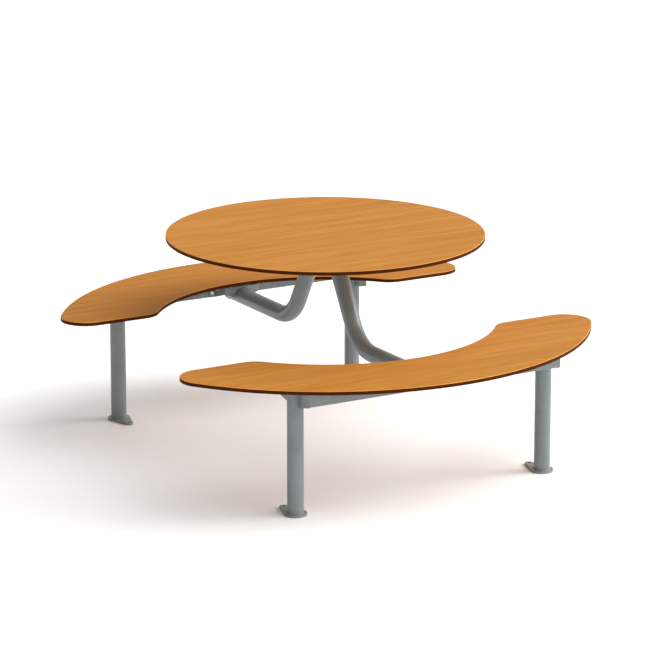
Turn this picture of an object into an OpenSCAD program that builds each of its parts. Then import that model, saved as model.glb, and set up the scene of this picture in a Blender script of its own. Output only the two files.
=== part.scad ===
// Round table with two curved benches on one welded tube frame.
// X runs along the benches, Y across them, Z up; the origin is on the floor under the table's centre.
// The front bench is at -Y and the back bench at +Y, and left is -X.

/* [Table] */
// Diameter of the round top
table_d = 1100; // [1000:10:1200]
// Height of the table's upper face above the floor
table_h = 760; // [720:5:800]
// Thickness of the compact laminate panels
panel_t = 13; // [12:1:18]
// Rounding along the table's rim
rim_round = 2; // [0.5:0.5:3]

/* [Seats] */
// Height of the seats' upper faces above the floor
seat_h = 455; // [430:5:480]
// Gap between the table's rim and a seat's inner edge, seen from above
seat_gap = 42; // [30:2:60]
// Depth of a seat in its middle, from its inner edge to its outer edge
seat_depth = 322; // [316:2:340]
// Distance by which the outer edge's centre lies behind the table's centre
outer_shift = 12; // [0:2:20]
// Distance of a seat's straight end edges from the table's middle line
seat_end = 352; // [320:2:370]
// Radius of the rounded tips
tip_r = 90; // [80:5:110]
// Radius of the shoulder between the inner edge and an end edge
shoulder_r = 80; // [50:5:90]

/* [Legs] */
// Distance between the two leg axes of one bench
leg_span = 966; // [900:6:984]
// Distance of the leg axes from the seat's inner edge, across the middle of the bench
leg_inset = 47; // [45:1:55]
// Outer diameter of a leg tube
leg_od = 55; // [48:1:60]
// Wall of a leg tube
leg_wall = 3; // [2:0.5:4]

/* [Rails] */
// Width of the rail tube
rail_w = 60; // [50:2:64]
// Height of the rail tube
rail_h = 50; // [46:1:60]
// Wall of the rail tube
rail_wall = 3; // [2:0.5:4]
// Outer corner radius of the rail tube
rail_corner = 6; // [5:1:8]
// Gap between a leg and the rail beside it
rail_clear = 10; // [6:1:14]

/* [Feet] */
// Thickness of a foot plate
foot_t = 8; // [6:1:12]
// Width of the foot plate's rim round the leg
foot_rim = 11.5; // [8:0.5:20]
// Distance from the leg axis to the anchor hole
anchor_reach = 80; // [76:1:100]
// Radius of the foot plate's ear round the anchor hole
ear_r = 14; // [13:1:20]
// Diameter of the anchor hole
anchor_d = 12; // [9:0.5:14]

/* [Leg brackets] */
// Thickness of the bracket plates under the seats
bracket_t = 4; // [3:0.5:5]
// Width of a leg bracket's top plate along the bench
bracket_w = 116; // [110:2:130]
// Reach of a leg bracket's top plate inward from the leg axis
bracket_reach = 102; // [102:1:108]
// Thickness of the upright gussets before and behind a leg
gusset_t = 6; // [4:1:8]
// Reach of the inner gusset from the leg axis
gusset_reach = 100; // [80:1:101]
// Height of the inner gusset at its free end
gusset_nose = 50; // [40:1:54]
// Height of both gussets beside the leg
gusset_mid = 67; // [56:1:72]

/* [Arms] */
// Outer diameter of an arm tube
arm_od = 58; // [50:1:59]
// Wall of an arm tube
arm_wall = 3; // [2:0.5:4]
// Lean of an arm's upright from the vertical, in degrees
arm_lean = 30.2; // [28:0.2:32]
// Radius of an arm's bend along its axis
bend_r = 150; // [120:5:170]
// Height of an arm's level run above the rail's underside, at its axis
arm_rise = 14.5; // [12:0.5:18]
// Distance of an arm's upper end from the table's middle line, at its axis
arm_top_y = 35; // [35:1:45]

/* [Hangers] */
// Width of a hanger across its two cheeks
hanger_w = 136; // [128:2:148]
// Depth of a hanger, from the rail to its front face
hanger_depth = 82; // [74:1:86]
// Thickness of a hanger's folded sheet
hanger_t = 4; // [3:0.5:5]
// Height of the hanger's front plate at its outer corners
hanger_side = 24; // [18:1:28]
// Height of the hanger's front plate beside the arm
hanger_mid = 38; // [34:1:42]
// Width of the rims beside the arm at the front plate's lowest edge
hanger_rim = 8; // [5:1:14]
// Length of a hanger flange on the rail, beyond its cheek
flange_len = 24; // [22:1:28]
// Height of a hanger flange
flange_h = 36; // [30:1:40]
// Step between the rail's underside and a hanger's lowest corner
hanger_step = 2; // [0:0.5:4]

/* [Plates] */
// Length of the seat plate in the middle of a bench
seat_plate_len = 216; // [212:2:240]
// Reach of that seat plate inward from the rail
seat_plate_reach = 78; // [70:1:84]
// Length of a plate under the table, along the benches
table_plate_len = 300; // [240:10:360]
// Width of a plate under the table, away from the middle line
table_plate_w = 150; // [130:5:180]
// Thickness of the plates under the table
table_plate_t = 5; // [4:0.5:6]
// Gap between the two plates under the table
table_plate_gap = 2; // [1:0.5:4]
// Corner radius of the flat plates
plate_corner = 8; // [4:1:12]

/* [Panel bolts] */
// Diameter of the panel bolts
bolt_d = 8; // [6:1:8]
// Length of a panel bolt under its head
bolt_len = 14; // [12:0.5:15]
// Width across the flats of a panel bolt's head
bolt_flats = 13; // [11:0.5:14]
// Height of a panel bolt's head
bolt_head = 5.3; // [4:0.1:6]
// Diameter of a washer
washer_d = 17; // [16:0.5:18]
// Thickness of a washer
washer_t = 1.6; // [1:0.2:2]
// Outer diameter of a threaded insert
insert_d = 12; // [11:0.5:14]
// Length of a threaded insert
insert_len = 9; // [7:0.5:10]
// Distance of the panel bolts from a plate's edges
bolt_edge = 14; // [12:1:16]
// Distance of the outer bolt rows from the rail
bolt_back = 16; // [15:0.5:18]

/* [Hanger bolts] */
// Diameter of a hanger bolt
hanger_bolt_d = 10; // [8:1:10]
// Length of a hanger bolt under its head
hanger_bolt_len = 18; // [16:1:20]
// Diameter of a hanger bolt's domed head
dome_d = 20; // [16:1:20]
// Height of a hanger bolt's domed head
dome_h = 6; // [4:0.5:7]
// Width across the flats of the head's key socket
key_flats = 6; // [4:1:7]
// Width across the flats of a nut inside the rail
nut_flats = 17; // [15:1:18]
// Height of a nut inside the rail
nut_h = 8; // [6:1:9]

/* [Hidden] */
$fn = 96;
wide_fn = 240;
wood = "#CC8B45";
steel = "#858B8A";
stainless = "#D9DCDD";
brass = "#B79A55";
signs = [-1, 1];

// Clearances: a cut's overshoot, a close fit, a loose fit and a bolt in its hole, each on one side.
// A seam is the small step with which two tangent pieces of one solid cross.
over = 0.5;
seam = 0.1;
fit = 0.1;
slide = 0.3;
bolt_slack = 0.5;

table_r = table_d / 2;
seat_in = table_r + seat_gap;
seat_out = seat_in + seat_depth;
seat_under = seat_h - panel_t;
table_under = table_h - panel_t;
leg_x = leg_span / 2;
leg_y = seat_in + leg_inset;
foot_r = leg_od / 2 + foot_rim;
rail_in = leg_y + leg_od / 2 + rail_clear;
rail_mid = rail_in + rail_w / 2;
rail_out = rail_in + rail_w;
rail_top = seat_under - bracket_t;
rail_under = rail_top - rail_h;
rail_z = rail_top - rail_h / 2;
rail_end = leg_x - gusset_t / 2;
bracket_in = leg_y - bracket_reach;
hanger_low = rail_under + hanger_step;
arm_z = rail_under + arm_rise;
arm_top = table_under - table_plate_t;
arm_corner_y = arm_top_y + (arm_top - arm_z) * tan(arm_lean);
bend_reach = bend_r * tan((90 - arm_lean) / 2);
bend_y = arm_corner_y + bend_reach;
bend_z = arm_z + bend_r;
hanger_front = rail_in - hanger_depth;
hanger_bolt_x = hanger_w / 2 + flange_len / 2;
hanger_bolt_z = hanger_low + flange_h / 2;
hanger_bolt_y = rail_in - hanger_t;
seat_plate_in = rail_in - seat_plate_reach;
table_plate_in = table_plate_gap / 2;
table_plate_out = table_plate_in + table_plate_w;
outer_bolt_y = rail_in - bolt_back;

// Panel bolts of one bench, as points on its +Y side
bracket_bolt_points = [
    for (s = signs, dx = signs, y = [bracket_in + bolt_edge, outer_bolt_y])
        [s * leg_x + dx * (bracket_w / 2 - bolt_edge), y]
];
plate_bolt_points = [
    for (dx = signs, y = [seat_plate_in + bolt_edge, outer_bolt_y])
        [dx * (seat_plate_len / 2 - bolt_edge), y]
];
seat_bolt_points = concat(bracket_bolt_points, plate_bolt_points);

// Panel bolts of one plate under the table, as points on its +Y side
table_bolt_points = [
    for (dx = signs, y = [table_plate_in + bolt_edge, table_plate_out - bolt_edge])
        [dx * (table_plate_len / 2 - bolt_edge), y]
];

// How far a panel bolt rises above the plate that it holds
function bolt_rise(plate_t) = bolt_len - washer_t - plate_t;

// Mirrors what is drawn in the back right quarter into the quarter with these signs
module quarter(sx, sy) {
    mirror([sx < 0 ? 1 : 0, 0, 0])
        mirror([0, sy < 0 ? 1 : 0, 0])
            children();
}

// Stands an outline drawn in Y and Z upright, from x to x + t
module upright(x, t) {
    translate([x, 0, 0])
        rotate([90, 0, 90])
            linear_extrude(t)
                children();
}

// A round bar along Y, from y to y + len
module bar_y(x, y, z, d, len) {
    translate([x, y, z])
        rotate([-90, 0, 0])
            cylinder(d = d, h = len);
}

module ring(p, z, outer_d, inner_d, t) {
    translate([p[0], p[1], z])
        difference() {
            cylinder(d = outer_d, h = t);
            translate([0, 0, -over])
                cylinder(d = inner_d, h = t + 2 * over);
        }
}

// A drill through the thickness t above z
module drill(p, z, d, t) {
    translate([p[0], p[1], z - over])
        cylinder(d = d, h = t + 2 * over);
}

module rounded_rect(w, h, r) {
    square([w - 2 * r, h], center = true);
    square([w, h - 2 * r], center = true);
    for (sx = signs, sy = signs)
        translate([sx * (w / 2 - r), sy * (h / 2 - r)])
            circle(r = r);
}

// A flat plate from y0 to y1 that lies on height z
module flat_plate(x, y0, y1, w, z, t) {
    translate([x, (y0 + y1) / 2, z])
        linear_extrude(t)
            rounded_rect(w, y1 - y0, plate_corner);
}

// A seat on the +Y side: a crescent between two arcs, cut off straight at its ends. The inner
// arc runs about the table's centre, the flatter outer one about a point behind that centre.
// Each tip and each shoulder is an arc that stands proud of both of its edges by a seam.
module seat_outline() {
    outer_r = seat_out + outer_shift;
    tip_y = seat_end + tip_r;
    tip_x = sqrt(pow(outer_r - tip_r, 2) - pow(tip_y + outer_shift, 2));
    tip_ray = [tip_x, tip_y + outer_shift];
    shoulder_y = seat_end + shoulder_r;
    shoulder_x = sqrt(pow(seat_in + shoulder_r, 2) - pow(shoulder_y, 2));
    far = 2 * seat_out;
    difference() {
        translate([0, -outer_shift])
            circle(r = outer_r, $fn = wide_fn);
        circle(r = seat_in, $fn = wide_fn);
        translate([-far, seat_end - far])
            square([2 * far, far]);
        for (s = signs) {
            polygon([
                [s * tip_x, 0],
                [s * tip_x, tip_y],
                [s * (tip_x + 2 * tip_ray[0]), tip_y + 2 * tip_ray[1]],
                [s * far, 0]
            ]);
            polygon([[0, 0], [s * shoulder_x, shoulder_y], [s * shoulder_x, 0]]);
        }
    }
    for (s = signs) {
        translate([s * tip_x, tip_y])
            circle(r = tip_r + seam);
        translate([s * shoulder_x, shoulder_y])
            circle(r = shoulder_r + seam);
    }
}

module seat(sy) {
    hole_h = max(insert_len, bolt_rise(bracket_t));
    color(wood)
        quarter(1, sy)
            difference() {
                translate([0, 0, seat_under])
                    linear_extrude(panel_t)
                        seat_outline();
                for (p = seat_bolt_points)
                    drill(p, seat_under, insert_d + 2 * fit, hole_h);
            }
}

module table_top() {
    hole_h = max(insert_len, bolt_rise(table_plate_t));
    color(wood)
        difference() {
            rotate_extrude($fn = wide_fn) {
                translate([0, table_under])
                    square([table_r - rim_round, panel_t]);
                translate([0, table_under + rim_round])
                    square([table_r, panel_t - 2 * rim_round]);
                for (z = [table_under + rim_round, table_h - rim_round])
                    translate([table_r - rim_round, z])
                        circle(r = rim_round, $fn = 32);
            }
            for (sy = signs, p = table_bolt_points)
                drill([p[0], sy * p[1]], table_under, insert_d + 2 * fit, hole_h);
        }
}

module rail(sy) {
    hole_d = hanger_bolt_d + 2 * bolt_slack;
    color(steel)
        quarter(1, sy)
            difference() {
                upright(-rail_end, 2 * rail_end)
                    translate([rail_mid, rail_z])
                        difference() {
                            rounded_rect(rail_w, rail_h, rail_corner);
                            rounded_rect(
                                rail_w - 2 * rail_wall,
                                rail_h - 2 * rail_wall,
                                rail_corner - rail_wall
                            );
                        }
                for (s = signs)
                    bar_y(s * hanger_bolt_x, rail_in - over, hanger_bolt_z, hole_d, rail_wall + 2 * over);
            }
}

module leg(sx, sy) {
    color(steel)
        quarter(sx, sy)
            ring([leg_x, leg_y], foot_t, leg_od, leg_od - 2 * leg_wall, rail_top - foot_t);
}

// A disc round the leg that narrows along its tangents to an ear round the anchor hole
module foot(sx, sy) {
    tangent = acos((foot_r - ear_r) / anchor_reach);
    neck_r = foot_r - seam;
    tail_r = ear_r - seam;
    color(steel)
        quarter(sx, sy)
            translate([leg_x, leg_y, 0])
                difference() {
                    union() {
                        cylinder(r = foot_r, h = foot_t);
                        translate([0, -anchor_reach, 0])
                            cylinder(r = ear_r, h = foot_t);
                        linear_extrude(foot_t)
                            polygon([
                                for (s = signs) [s * neck_r * sin(tangent), -neck_r * cos(tangent)],
                                for (s = [1, -1])
                                    [s * tail_r * sin(tangent), -anchor_reach - tail_r * cos(tangent)]
                            ]);
                    }
                    drill([0, -anchor_reach], 0, anchor_d, foot_t);
                }
}

// A top plate under the seat and upright gussets that meet the leg from both sides.
// The outer gusset closes the end of the rail.
module leg_bracket(sx, sy) {
    color(steel)
        quarter(sx, sy) {
            difference() {
                flat_plate(leg_x, bracket_in, rail_mid, bracket_w, rail_top, bracket_t);
                for (p = bracket_bolt_points)
                    drill(p, rail_top, bolt_d + 2 * bolt_slack, bracket_t);
            }
            difference() {
                upright(rail_end, gusset_t)
                    polygon([
                        [leg_y - gusset_reach, rail_top],
                        [leg_y - gusset_reach, rail_top - gusset_nose],
                        [leg_y - leg_od / 2, rail_top - gusset_mid],
                        [leg_y + leg_od / 2, rail_top - gusset_mid],
                        [rail_out, rail_under],
                        [rail_out, rail_top]
                    ]);
                drill([leg_x, leg_y], rail_top - gusset_mid, leg_od + 2 * slide, gusset_mid - over);
            }
        }
}

// A tube as it is cut across: an annulus with its wall thickened on each side
module tube_section(thicker) {
    difference() {
        circle(d = arm_od + 2 * thicker);
        circle(d = arm_od - 2 * arm_wall - 2 * thicker);
    }
}

// One bent tube, drawn about the centre of its bend: a level run from the rail, a piece
// of a torus that both straight runs enter, and a leaning upright cut level at its top
module arm(sy) {
    upright_len = (arm_top - arm_z) / cos(arm_lean) - bend_reach + arm_od;
    block = 2 * (arm_top - arm_z) + 4 * bend_r;
    color(steel)
        quarter(1, sy)
            translate([0, bend_y, bend_z]) {
                translate([0, -over, -bend_r])
                    rotate([-90, 0, 0])
                        linear_extrude(rail_in - bend_y + over)
                            tube_section(0);
                difference() {
                    rotate([0, 90, 0])
                        rotate_extrude($fn = wide_fn)
                            translate([bend_r, 0])
                                tube_section(seam);
                    translate([-block / 2, 0, -block / 2])
                        cube(block);
                    rotate([arm_lean, 0, 0])
                        translate([-block / 2, -block / 2, 0])
                            cube(block);
                }
                difference() {
                    rotate([arm_lean, 0, 0])
                        translate([0, -bend_r, -over])
                            linear_extrude(upright_len)
                                tube_section(0);
                    translate([-block / 2, -block / 2, arm_top - bend_z])
                        cube(block);
                }
            }
}

// A folded bracket: a front plate that saddles the arm, two cheeks, and flanges bolted to the rail
module hanger(sy) {
    side_x = hanger_w / 2;
    mid_x = arm_od / 2 + hanger_rim;
    color(steel)
        quarter(1, sy) {
            difference() {
                translate([0, hanger_front + hanger_t, 0])
                    rotate([90, 0, 0])
                        linear_extrude(hanger_t)
                            polygon([
                                [-side_x, rail_top], [side_x, rail_top],
                                [side_x, rail_top - hanger_side], [mid_x, rail_top - hanger_mid],
                                [-mid_x, rail_top - hanger_mid], [-side_x, rail_top - hanger_side]
                            ]);
                bar_y(0, hanger_front - over, arm_z, arm_od + 2 * slide, hanger_t + 2 * over);
            }
            for (x = [-side_x, side_x - hanger_t])
                upright(x, hanger_t)
                    polygon([
                        [hanger_front, rail_top], [rail_in, rail_top],
                        [rail_in, hanger_low], [hanger_front, rail_top - hanger_side]
                    ]);
            for (s = signs)
                difference() {
                    translate([s * (side_x + flange_len / 2), hanger_bolt_y + hanger_t / 2, hanger_bolt_z])
                        cube([flange_len, hanger_t, flange_h], center = true);
                    bar_y(
                        s * hanger_bolt_x, hanger_bolt_y - over, hanger_bolt_z,
                        hanger_bolt_d + 2 * bolt_slack, hanger_t + 2 * over
                    );
                }
        }
}

module seat_plate(sy) {
    color(steel)
        quarter(1, sy)
            difference() {
                flat_plate(0, seat_plate_in, rail_mid, seat_plate_len, rail_top, bracket_t);
                for (p = plate_bolt_points)
                    drill(p, rail_top, bolt_d + 2 * bolt_slack, bracket_t);
            }
}

module table_plate(sy) {
    color(steel)
        quarter(1, sy)
            difference() {
                flat_plate(0, table_plate_in, table_plate_out, table_plate_len, arm_top, table_plate_t);
                for (p = table_bolt_points)
                    drill(p, arm_top, bolt_d + 2 * bolt_slack, table_plate_t);
            }
}

// Threaded inserts pressed into a panel's underside at height z
module inserts(points, z) {
    color(brass)
        for (sy = signs, p = points)
            quarter(1, sy)
                ring(p, z, insert_d, bolt_d + 2 * fit, insert_len);
}

// Washers against the underside of the plates at height z
module washers(points, z) {
    color(stainless)
        for (sy = signs, p = points)
            quarter(1, sy)
                ring(p, z - washer_t, washer_d, bolt_d + 2 * bolt_slack, washer_t);
}

module panel_bolts(points, z) {
    color(stainless)
        for (sy = signs, p = points)
            quarter(1, sy)
                translate([p[0], p[1], z - washer_t]) {
                    cylinder(d = bolt_d, h = bolt_len);
                    translate([0, 0, -bolt_head])
                        cylinder(d = bolt_flats / cos(30), h = bolt_head, $fn = 6);
                }
}

// Domed bolts through the hanger flanges into the rails
module hanger_bolts() {
    dome_r = (pow(dome_d / 2, 2) + pow(dome_h, 2)) / (2 * dome_h);
    color(stainless)
        for (sx = signs, sy = signs)
            quarter(sx, sy)
                translate([hanger_bolt_x, hanger_bolt_y, hanger_bolt_z]) {
                    bar_y(0, 0, 0, hanger_bolt_d, hanger_bolt_len);
                    difference() {
                        intersection() {
                            bar_y(0, -dome_h, 0, dome_d, dome_h);
                            translate([0, dome_r - dome_h, 0])
                                sphere(r = dome_r);
                        }
                        translate([0, -dome_h / 2, 0])
                            rotate([90, 0, 0])
                                cylinder(d = key_flats / cos(30), h = dome_h, $fn = 6);
                    }
                }
}

// Nuts fixed to the inner face of the rails' walls
module hanger_nuts() {
    color(stainless)
        for (sx = signs, sy = signs)
            quarter(sx, sy)
                difference() {
                    translate([hanger_bolt_x, rail_in + rail_wall, hanger_bolt_z])
                        rotate([-90, 0, 0])
                            cylinder(d = nut_flats / cos(30), h = nut_h, $fn = 6);
                    bar_y(
                        hanger_bolt_x, rail_in, hanger_bolt_z,
                        hanger_bolt_d + 2 * fit, rail_wall + nut_h + over
                    );
                }
}

table_top();
seat(-1);  // front_seat
seat(1);  // back_seat
rail(-1);  // front_rail
rail(1);  // back_rail
leg(-1, -1);  // front_left_leg
leg(1, -1);  // front_right_leg
leg(-1, 1);  // back_left_leg
leg(1, 1);  // back_right_leg
foot(-1, -1);  // front_left_foot
foot(1, -1);  // front_right_foot
foot(-1, 1);  // back_left_foot
foot(1, 1);  // back_right_foot
leg_bracket(-1, -1);  // front_left_bracket
leg_bracket(1, -1);  // front_right_bracket
leg_bracket(-1, 1);  // back_left_bracket
leg_bracket(1, 1);  // back_right_bracket
arm(-1);  // front_arm
arm(1);  // back_arm
hanger(-1);  // front_hanger
hanger(1);  // back_hanger
seat_plate(-1);  // front_seat_plate
seat_plate(1);  // back_seat_plate
table_plate(-1);  // front_table_plate
table_plate(1);  // back_table_plate
inserts(seat_bolt_points, seat_under);  // seat_inserts
panel_bolts(seat_bolt_points, rail_top);  // seat_bolts
washers(seat_bolt_points, rail_top);  // seat_washers
inserts(table_bolt_points, table_under);  // table_inserts
panel_bolts(table_bolt_points, arm_top);  // table_bolts
washers(table_bolt_points, arm_top);  // table_washers
hanger_bolts();
hanger_nuts();
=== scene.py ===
# Round table with attached benches: laminate panels, painted tubework, welds and bolts
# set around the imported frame. Lengths are written in millimetres and turned to metres.
import math
import random

import bmesh
import bpy
from mathutils import Matrix, Vector


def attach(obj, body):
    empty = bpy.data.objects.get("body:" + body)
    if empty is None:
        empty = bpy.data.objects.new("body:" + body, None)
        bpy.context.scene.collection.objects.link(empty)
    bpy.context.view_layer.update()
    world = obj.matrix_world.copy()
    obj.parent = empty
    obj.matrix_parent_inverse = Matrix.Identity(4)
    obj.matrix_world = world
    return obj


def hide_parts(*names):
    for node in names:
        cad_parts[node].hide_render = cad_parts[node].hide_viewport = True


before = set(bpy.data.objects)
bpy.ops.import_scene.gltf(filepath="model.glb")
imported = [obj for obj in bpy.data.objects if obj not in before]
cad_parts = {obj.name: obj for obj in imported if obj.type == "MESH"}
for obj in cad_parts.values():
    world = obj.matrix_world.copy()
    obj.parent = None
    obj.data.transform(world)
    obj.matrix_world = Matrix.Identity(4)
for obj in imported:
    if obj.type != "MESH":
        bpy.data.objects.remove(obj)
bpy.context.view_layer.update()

# NEAR is how closely points have to agree to count as level, MERGE joins doubled points
MM = 0.001
NEAR = 0.01
MERGE = 0.001
SIDES = (-1, 1)

# Panels
TABLE_RADIUS = 550
TABLE_HEIGHT = 760
SEAT_HEIGHT = 455
PANEL = 13
SEAT_INNER = 592
SEAT_OUTER = 926
OUTER_SHIFT = 12
SEAT_END = 352
TIP = 90
SHOULDER = 80
RIM_TOP = 2.2
RIM_UNDER = 1.0
# RIM_FLAT and RIM_STEEP bound the slope of the rounded rim faces that get the painted highlight.
RIM_FLAT = 0.97
RIM_STEEP = 0.35
POCKET = 6.1
POCKET_DEPTH = 9

# Tubework; an arm's upper run is drawn UPRIGHT long and cut off at ARM_TOP
LEG_X = 483
LEG_Y = 639
LEG = 27.5
LEG_WALL = 3
FOOT = 39
FOOT_THICK = 8
EAR = 14
EAR_REACH = 80
ANCHOR = 6
RAIL_TOP = 438
RAIL_IN = 676.5
RAIL_WIDE = 60
RAIL_HIGH = 50
RAIL_WALL = 3
RAIL_CORNER = 6
RAIL_HALF = 480
ARM = 29
ARM_WALL = 3
ARM_LEAN = 30.2
ARM_Z = 402.5
ARM_TOP = 742
ARM_TOP_Y = 35
BEND = 150
LEAN = math.radians(ARM_LEAN)
BEND_Y = ARM_TOP_Y + (ARM_TOP - ARM_Z) * math.tan(LEAN) + BEND * math.tan((math.pi / 2 - LEAN) / 2)
UPRIGHT = 420

# Plates
BRACKET_THICK = 4
BRACKET_IN = 537
BRACKET_HALF = 58
GUSSET_THICK = 6
GUSSET_REACH = 100
GUSSET_NOSE = 50
GUSSET_MID = 67
LEG_SLIDE = 0.3
GUSSET_GAP = LEG + LEG_SLIDE
GUSSET_ROUND = 3
RAIL_END_ROUND = 2
SEAT_PLATE_HALF = 108
SEAT_PLATE_IN = 598.5
TABLE_PLATE_HALF = 150
TABLE_PLATE_IN = 1
TABLE_PLATE_OUT = 151
TABLE_PLATE_THICK = 5
PLATE_CORNER = 8
HANGER_FRONT = 594.5
HANGER_HALF = 68
HANGER_SIDE = 24
HANGER_MID = 38
HANGER_MID_HALF = 37
HANGER_NOTCH = 31.5
HANGER_LOW = 390
HANGER_THICK = 4
HANGER_FOLD = 5
FOLD_STEPS = 5
FLANGE = 24
FLANGE_HIGH = 36

# Fasteners
BOLT = 4
BOLT_HOLE = 4.5
BOLT_LENGTH = 14
BOLT_FLATS = 13
BOLT_HEAD = 5.3
HEAD_CHAMFER = 0.6
HEAD_CHAMFER_IN = 0.8
SHANK_START = 0.5
SHANK_POINT = 0.8
THREAD_GAP = 0.1
BOLT_EDGE = 14
BOLT_BACK = 16
WASHER = 8.5
WASHER_THICK = 1.6
INSERT = 6
INSERT_LENGTH = 9
HANGER_BOLT = 5
HANGER_BOLT_LENGTH = 18
HANGER_BOLT_X = HANGER_HALF + FLANGE / 2
HANGER_BOLT_Z = HANGER_LOW + FLANGE_HIGH / 2
DOME = 10
DOME_HIGH = 6
KEY_FLATS = 6
KEY_RIM = 4.4
KEY_SINK = 0.35
NUT_FLATS = 17
NUT_HIGH = 8

# Weld beads: their radii, the length of a ripple, and where they start and stop
PLATE_WELD = 2.6
HEAD_WELD = 2.4
EDGE_WELD = 1.8
TACK = 2.0
SADDLE_WELD = 2.2
SADDLE_LOW = 1
RIPPLE = 2.2
GUSSET_WELD_LOW = 3
GUSSET_WELD_HIGH = 2
WELD_END = 4
CORNER_END = RAIL_CORNER + 1
TACK_LENGTH = 14
TACK_INSET = 6
TACKS_FROM_LEG = (-50, -26)
HANGER_WELD = 22
HANGER_WELD_INSET = 12

# Panel bolts of one bench and of one plate under the table, on the +Y side
SEAT_BOLTS = [
    (side * LEG_X + step * (BRACKET_HALF - BOLT_EDGE), y)
    for side in SIDES for step in SIDES for y in (BRACKET_IN + BOLT_EDGE, RAIL_IN - BOLT_BACK)
] + [
    (side * (SEAT_PLATE_HALF - BOLT_EDGE), y)
    for side in SIDES for y in (SEAT_PLATE_IN + BOLT_EDGE, RAIL_IN - BOLT_BACK)
]
TABLE_BOLTS = [
    (side * (TABLE_PLATE_HALF - BOLT_EDGE), y)
    for side in SIDES for y in (TABLE_PLATE_IN + BOLT_EDGE, TABLE_PLATE_OUT - BOLT_EDGE)
]

# Studio: angles in degrees, places in metres. The sky brightens along SKY_AXIS, to the
# right of the camera. A lamp has a name, a strength, a spread and the way that it shines.
SKY_LEFT = 0.2
SKY_RIGHT = 1.48
SKY_AXIS = (0.866, -0.5, 0)
SKY_SPREAD = 0.8
FLOOR_TONE = 0.93
FLOOR_HALF = 40
LAMPS = (("key", 1.5, 60, (-2.4, 1.4, -3.0)), ("side", 1.5, 30, (-0.9, 0.35, -0.45)))
CAMERA_PLACE = (-6.045, -10.4435, 3.6698)
CAMERA_DOWN = 15.024
CAMERA_TURN = 30.058
CAMERA_LENS = 199.778

random.seed(7)


# Finishes

def new_finish(name, **settings):
    finish = bpy.data.materials.new(name)
    finish.use_nodes = True
    shader = finish.node_tree.nodes["Principled BSDF"]
    for socket, value in settings.items():
        shader.inputs[socket.replace("_", " ")].default_value = value
    return finish, finish.node_tree, shader


def add_node(tree, kind, **inputs):
    node = tree.nodes.new(kind)
    for socket, value in inputs.items():
        target = node.inputs[socket.replace("_", " ")]
        if isinstance(value, bpy.types.NodeSocket):
            tree.links.new(value, target)
        else:
            target.default_value = value
    return node


def stretched(tree, scale, shift=(0, 0, 0)):
    place = tree.nodes.new("ShaderNodeTexCoord")
    return add_node(
        tree, "ShaderNodeMapping", Vector=place.outputs["Object"], Scale=scale, Location=shift
    ).outputs[0]


def cloud(tree, vector, scale, detail=3.0, rough=0.5, twist=0.0):
    return add_node(
        tree, "ShaderNodeTexNoise",
        Vector=vector, Scale=scale, Detail=detail, Roughness=rough, Distortion=twist,
    ).outputs[0]


def shades(tree, factor, stops):
    ramp = add_node(tree, "ShaderNodeValToRGB", Fac=factor)
    while len(ramp.color_ramp.elements) < len(stops):
        ramp.color_ramp.elements.new(0.5)
    for element, (position, colour) in zip(ramp.color_ramp.elements, stops):
        element.position = position
        element.color = (*colour, 1)
    return ramp.outputs[0]


def grey(tree, factor, low, high, start=0.3, end=0.7):
    node = add_node(
        tree, "ShaderNodeMapRange",
        Value=factor, From_Min=start, From_Max=end, To_Min=low, To_Max=high,
    )
    return node.outputs[0]


def blend_colours(tree, factor, first, second, kind="MIX"):
    node = tree.nodes.new("ShaderNodeMix")
    node.data_type = "RGBA"
    node.blend_type = kind
    for socket, value in ((0, factor), (6, first), (7, second)):
        if isinstance(value, bpy.types.NodeSocket):
            tree.links.new(value, node.inputs[socket])
        else:
            node.inputs[socket].default_value = value
    return node.outputs[2]


def maths(tree, kind, first, second):
    node = tree.nodes.new("ShaderNodeMath")
    node.operation = kind
    for socket, value in ((0, first), (1, second)):
        if isinstance(value, bpy.types.NodeSocket):
            tree.links.new(value, node.inputs[socket])
        else:
            node.inputs[socket].default_value = value
    return node.outputs[0]


def height_of(tree):
    place = tree.nodes.new("ShaderNodeTexCoord")
    return add_node(tree, "ShaderNodeSeparateXYZ", Vector=place.outputs["Object"]).outputs[2]


def relief(tree, shader, height, strength, distance):
    bump = add_node(
        tree, "ShaderNodeBump", Height=height, Strength=strength, Distance=distance
    )
    tree.links.new(bump.outputs[0], shader.inputs["Normal"])


def edge_wear(tree, start, end):
    corner = tree.nodes.new("ShaderNodeNewGeometry").outputs["Pointiness"]
    patchy = cloud(tree, stretched(tree, (1, 1, 1)), 60, 4, 0.65)
    ridge = grey(tree, corner, 0, 1, start, end)
    return maths(tree, "MULTIPLY", ridge, grey(tree, patchy, 0, 1, 0.42, 0.62))


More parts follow.
